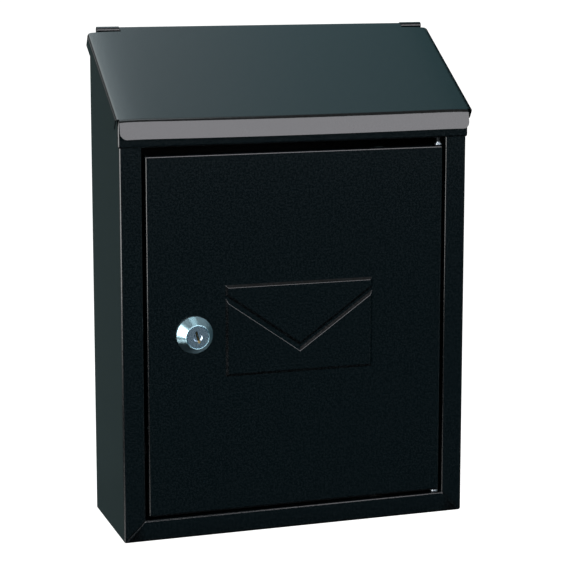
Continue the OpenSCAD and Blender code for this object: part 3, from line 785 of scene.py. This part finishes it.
# Satin chrome: the plug's face is polished before plating, and a faint haze takes off the shine.
satin_chrome = new_material("satin_chrome_plate")
place = add_node(satin_chrome, "ShaderNodeTexCoord").outputs["Object"]
haze = add_node(satin_chrome, "ShaderNodeTexNoise", Vector=place, Scale=1 / PLUG_HAZE, Detail=4.0)
gloss = add_node(satin_chrome, "ShaderNodeMapRange", Value=haze.outputs["Fac"], To_Min=0.24, To_Max=0.3)
plate = add_node(satin_chrome, "ShaderNodeBsdfPrincipled", Base_Color=linear_from_hex("bccad6"),
                 Metallic=1.0, Roughness=gloss.outputs["Result"])
add_node(satin_chrome, "ShaderNodeOutputMaterial", Surface=plate.outputs["BSDF"])
finish_node("lock_plug", satin_chrome)

# Stamped brass, bare and a little dulled in spots about a millimetre wide.
brass = new_material("bare_stamped_brass")
place = add_node(brass, "ShaderNodeTexCoord").outputs["Object"]
spots = add_node(brass, "ShaderNodeTexNoise", Vector=place, Scale=1 / BRASS_SPOT, Detail=3.0)
tone = add_node(brass, "ShaderNodeValToRGB", Fac=spots.outputs["Fac"])
tone.color_ramp.elements[0].position = 0.35
tone.color_ramp.elements[0].color = linear_from_hex("8c7040")
tone.color_ramp.elements[1].position = 0.65
tone.color_ramp.elements[1].color = linear_from_hex("b4945a")
plate = add_node(brass, "ShaderNodeBsdfPrincipled", Base_Color=tone.outputs["Color"], Metallic=1.0,
                 Roughness=0.32)
add_node(brass, "ShaderNodeOutputMaterial", Surface=plate.outputs["BSDF"])
finish_node("lock_wafers", brass)

# Bare spring wire, drawn bright, with darker oil-stained stretches.
wire = new_material("bright_spring_wire")
place = add_node(wire, "ShaderNodeTexCoord").outputs["Object"]
stain = add_node(wire, "ShaderNodeTexNoise", Vector=place, Scale=1 / WIRE_STAIN, Detail=2.0)
tone = add_node(wire, "ShaderNodeValToRGB", Fac=stain.outputs["Fac"])
tone.color_ramp.elements[0].position = 0.4
tone.color_ramp.elements[0].color = linear_from_hex("8c8c8e")
tone.color_ramp.elements[1].position = 0.6
tone.color_ramp.elements[1].color = linear_from_hex("b6b6b8")
plate = add_node(wire, "ShaderNodeBsdfPrincipled", Base_Color=tone.outputs["Color"], Metallic=1.0,
                 Roughness=0.25)
add_node(wire, "ShaderNodeOutputMaterial", Surface=plate.outputs["BSDF"])
finish_node("wafer_springs", wire)
finish_node("stop_washer", zinc)


# ==== Cam, washer and screw =======================================================================
# A 1.6 mm zinc-plated steel arm on the plug's square end, held by a thin washer and a pan head screw
# with a cross recess.
CAM_A = 8.2 * MM
CAM_T = 1.6 * MM
CAM_ARM = 12 * MM
CAM_REACH = 36.5 * MM
CAM_SQUARE = 7.1 * MM
CAM_WASHER_T = 0.8 * MM
CAM_WASHER_R = 6 * MM
CAM_WASHER_BORE = 2.1 * MM
SCREW_HEAD_R = 3.6 * MM
SCREW_HEAD_H = 2.2 * MM
SCREW_SHANK_R = 1.98 * MM
SCREW_SHANK = 5 * MM
SCREW_CHAMFER = 0.5 * MM
SCREW_EDGE = 0.08 * MM
CAM_EDGE = 0.15 * MM
CROSS_LEN = 4 * MM
CROSS_W = 0.8 * MM
CROSS_D = 1.2 * MM

flat_on = Matrix.Translation(lock + Vector((0, CAM_A, 0))) @ Matrix.Rotation(math.radians(90), 4, "X")
bm = bmesh.new()
rim = bmesh.ops.create_circle(bm, segments=64, radius=BARREL_R, matrix=flat_on)["verts"]
rim_edges = list(bm.edges)
hole = bmesh.ops.create_circle(bm, segments=64, radius=CAM_SQUARE, matrix=flat_on)["verts"]
for v in hole:
    v.co.x = min(max(v.co.x, lock.x - CAM_SQUARE / 2), lock.x + CAM_SQUARE / 2)
    v.co.z = min(max(v.co.z, lock.z - CAM_SQUARE / 2), lock.z + CAM_SQUARE / 2)
bmesh.ops.bridge_loops(bm, edges=list(bm.edges))
arm_edges = [e for e in rim_edges
             if middle(e).z < lock.z and all(abs(v.co.x - lock.x) < CAM_ARM / 2 for v in e.verts)]
end_centre = lock.z - CAM_REACH + CAM_ARM / 2
arm_tip = flange(bm, arm_edges, (0, 0, 0))
span = max(abs(v.co.x - lock.x) for v in arm_tip)
for v in arm_tip:
    across = (v.co.x - lock.x) / span * CAM_ARM / 2
    v.co.x = lock.x + across
    v.co.z = end_centre - math.sqrt(max((CAM_ARM / 2) ** 2 - across ** 2, 0))
bmesh.ops.recalc_face_normals(bm, faces=bm.faces)
if bm.faces[0].normal.y > 0:
    bmesh.ops.reverse_faces(bm, faces=bm.faces)
cam = sheet_piece("cam_stamping", bm, CAM_T, CAM_EDGE)
dress(cam, zinc, "lock_cylinder", "zinc_plate", "cam")

behind_cam = CAM_A + CAM_T
behind_washer = behind_cam + CAM_WASHER_T
bm = tube(CAM_WASHER_BORE, CAM_WASHER_R, behind_cam, behind_washer, lock, INTO_WALL, 48)
cam_washer = solid_piece("cam_washer_ring", bm, SMALL_EDGE)
dress(cam_washer, zinc, "lock_cylinder", "zinc_plate", "cam_washer")

screw_end = behind_washer + SCREW_HEAD_H
bm = lathe([(0, behind_washer - SCREW_SHANK), (SCREW_SHANK_R, behind_washer - SCREW_SHANK),
            (SCREW_SHANK_R, behind_washer), (SCREW_HEAD_R, behind_washer),
            (SCREW_HEAD_R, screw_end - SCREW_CHAMFER), (SCREW_HEAD_R - SCREW_CHAMFER, screw_end),
            (0, screw_end)], lock, INTO_WALL, 48)
head_top = lock + Vector((0, screw_end, 0))
for x, z in ((CROSS_LEN, CROSS_W), (CROSS_W, CROSS_LEN)):
    reach = Vector((x / 2, MM / 10, z / 2))
    snip(bm, head_top - reach, head_top + reach)
flange(bm, [e for e in bm.edges if e.is_boundary], (0, -CROSS_D, 0))
bmesh.ops.contextual_create(bm, geom=[e for e in bm.edges if e.is_boundary])
bmesh.ops.recalc_face_normals(bm, faces=bm.faces)
screw = solid_piece("cam_screw_turning", bm, SCREW_EDGE)
dress(screw, zinc, "lock_cylinder", "zinc_plate", "cam_screw")


# ==== Camera, floor and light =====================================================================
# The camera stands a little to the left of the box and above it. Two softboxes light the box, and
# cards that only reflections show give the black coat its sheen and its dark parts.
camera = bpy.data.objects.new("camera", bpy.data.cameras.new("camera"))
bpy.context.scene.collection.objects.link(camera)
camera.data.sensor_width = 36
camera.data.lens = 118.74
camera.data.shift_y = -0.1
camera.location = (-0.3517, -1.1177, 0.2088)
camera.rotation_euler = (math.radians(90 - 8.82), 0, math.radians(-18.26))
bpy.context.scene.camera = camera

FLOOR_Z = -0.495


def plane(name, centre, size_x, size_y, turn=(0, 0, 0)):
    """A flat rectangle, as part of the studio."""
    bm = bmesh.new()
    spin_by = Euler(turn).to_matrix().to_4x4()
    bmesh.ops.create_grid(bm, x_segments=1, y_segments=1, size=0.5)
    bmesh.ops.scale(bm, vec=(size_x, size_y, 1), verts=bm.verts)
    bmesh.ops.transform(bm, matrix=Matrix.Translation(centre) @ spin_by, verts=bm.verts)
    mesh = bpy.data.meshes.new(name)
    bm.to_mesh(mesh)
    bm.free()
    obj = bpy.data.objects.new(name, mesh)
    bpy.context.scene.collection.objects.link(obj)
    obj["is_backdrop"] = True
    return obj


def seen_white(owner):
    """Gives 1 to the rays that see a surface or the background, and 0 to those that only light it."""
    path = add_node(owner, "ShaderNodeLightPath").outputs
    seen = add_node(owner, "ShaderNodeMath", {"operation": "ADD"}, in0=path["Is Camera Ray"],
                    in1=path["Is Glossy Ray"])
    seen = add_node(owner, "ShaderNodeMath", {"operation": "ADD", "use_clamp": True},
                    in0=seen.outputs[0], in1=path["Is Transmission Ray"])
    return seen.outputs[0]


# Matt white floor paint, well below the box. It keeps a soft shadow near the box, and further out it
# glows up to plain white.
floor_paint = new_material("white_floor_paint")
place = add_node(floor_paint, "ShaderNodeTexCoord").outputs["Object"]
away = add_node(floor_paint, "ShaderNodeVectorMath", {"operation": "LENGTH"}, in0=place)
fade = add_node(floor_paint, "ShaderNodeMapRange", {"interpolation_type": "SMOOTHSTEP"},
                Value=away.outputs["Value"], From_Min=0.6, From_Max=1.4, To_Min=0.62, To_Max=1.0)
level = add_node(floor_paint, "ShaderNodeMath", {"operation": "MULTIPLY"}, in0=seen_white(floor_paint),
                 in1=fade.outputs["Result"])
matt = add_node(floor_paint, "ShaderNodeBsdfDiffuse", Color=linear_from_hex("d8d8d6"))
glow = add_node(floor_paint, "ShaderNodeEmission", Strength=level.outputs[0])
both = add_node(floor_paint, "ShaderNodeAddShader", in0=matt.outputs[0], in1=glow.outputs[0])
add_node(floor_paint, "ShaderNodeOutputMaterial", Surface=both.outputs[0])
floor = plane("floor", (0, 0, FLOOR_Z), 60, 60)
floor.data.materials.append(floor_paint)


def card(material, centre, size_x, size_y, turn):
    """A studio card that only reflections show."""
    obj = plane(material.name, centre, size_x, size_y, turn)
    obj.data.materials.append(material)
    obj.visible_camera = False
    obj.visible_diffuse = False
    obj.visible_shadow = False
    obj.visible_transmission = False


def flag(name, centre, size_x, size_y, turn, strength, colour="ffffff"):
    """A card of one tone, most often a dark one."""
    felt = new_material(name)
    glow = add_node(felt, "ShaderNodeEmission", Color=linear_from_hex(colour), Strength=strength)
    add_node(felt, "ShaderNodeOutputMaterial", Surface=glow.outputs[0])
    card(felt, centre, size_x, size_y, turn)


# Dark felt at the sides, behind, in front, below and overhead shapes the sheen on the coat. The light
# card above the lock puts the bright wedge on its cone.
R90 = math.radians(90)
flag("flag_right", (1.0, 0.6, 0.5), 2.0, 1.6, (0, R90, 0), 0.02, "60b0c0")
flag("flag_right_front", (1.0, -0.55, 0.5), 2.0, 0.7, (0, R90, 0), 0.2, "60b0c0")
flag("flag_left", (-1.25, -0.2, -0.4), 0.19, 1.6, (0, R90, 0), 0.03)
flag("flag_back", (-0.2, 1.2, -0.02), 2.4, 0.95, (R90, 0, 0), 0.175, "a8c8c8")
flag("flag_front", (0.2, -1.0, -0.18), 1.6, 0.62, (R90, 0, 0), 0.115, "a2e8fd")
flag("flag_front_left", (-1.05, -1.0, -0.24), 0.9, 0.48, (R90, 0, 0), 0.03)
flag("flag_floor", (0.15, -0.25, FLOOR_Z + 0.01), 1.7, 1.5, (0, 0, 0), 0.02)
flag("flag_floor_back", (-0.2, 0.85, FLOOR_Z + 0.01), 2.4, 0.7, (0, 0, 0), 0.16, "a8c8c8")
flag("flag_overhead", (0, -1.3, 1.5), 2.6, 2.4, (0, 0, 0), 0.26)
flag("flag_upper_left", (-0.9, 0.28, 1.04), 0.34, 1.2, (0, math.radians(-38), 0), 0.05, "60b0c0")
flag("card_above", (0.0, -0.45, 1.4), 0.7, 0.5, (0, 0, 0), 2.5, "e8f4f8")

# Translucent white scrim cloth, lit from its left end, so that it falls off to a blue grey on the right.
scrim = new_material("overhead_scrim")
place = add_node(scrim, "ShaderNodeTexCoord").outputs["Object"]
across = add_node(scrim, "ShaderNodeSeparateXYZ", Vector=place).outputs["X"]
along = add_node(scrim, "ShaderNodeMapRange", Value=across, From_Min=-0.6, From_Max=0.8)
shade = add_node(scrim, "ShaderNodeValToRGB", Fac=along.outputs["Result"])
shade.color_ramp.elements[0].color = linear_from_hex("8e9698")
shade.color_ramp.elements[-1].color = linear_from_hex("4b676c")
shade.color_ramp.elements.new(0.21).color = linear_from_hex("f6ffff")
shade.color_ramp.elements.new(0.43).color = linear_from_hex("d8e8ec")
shade.color_ramp.elements.new(0.54).color = linear_from_hex("a6b6bc")
shade.color_ramp.elements.new(0.64).color = linear_from_hex("839398")
shade.color_ramp.elements.new(0.79).color = linear_from_hex("688086")
glow = add_node(scrim, "ShaderNodeEmission", Color=shade.outputs["Color"], Strength=3.8)
add_node(scrim, "ShaderNodeOutputMaterial", Surface=glow.outputs[0])
card(scrim, (0, 1.1, 1.5), 2.4, 2.4, (0, 0, 0))

# The background is white wherever it is seen, but it lights the box only faintly.
ROOM_LIGHT = 0.2
world = bpy.data.worlds.new("studio")
bpy.context.scene.world = world
world.use_nodes = True
world.node_tree.nodes.clear()
white = add_node(world, "ShaderNodeMath", {"operation": "MAXIMUM"}, in0=seen_white(world), in1=ROOM_LIGHT)
sky = add_node(world, "ShaderNodeBackground", Color=(1, 1, 1, 1), Strength=white.outputs[0])
add_node(world, "ShaderNodeOutputWorld", Surface=sky.outputs[0])


def softbox(name, at, aim, width, height, radiance, colour=(1, 1, 1)):
    """A rectangular softbox of an even brightness."""
    light = bpy.data.lights.new(name, "AREA")
    light.shape = "RECTANGLE"
    light.size = width
    light.size_y = height
    light.energy = radiance * math.pi * width * height
    light.color = colour
    obj = bpy.data.objects.new(name, light)
    bpy.context.scene.collection.objects.link(obj)
    obj.location = at
    obj.rotation_euler = (Vector(aim) - Vector(at)).to_track_quat("-Z", "Y").to_euler()
    obj.visible_camera = False


softbox("front_box", (0.35, -1.5, 0.57), (0.3, 0, 0.1), 1.9, 0.68, 4.3, (0.955, 0.94, 1.0))
softbox("left_box", (-1.35, -0.3, 0.315), (0, -0.05, 0.1), 1.1, 1.2, 6.3)

scene = bpy.context.scene
scene.view_settings.view_transform = "Standard"
low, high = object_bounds()
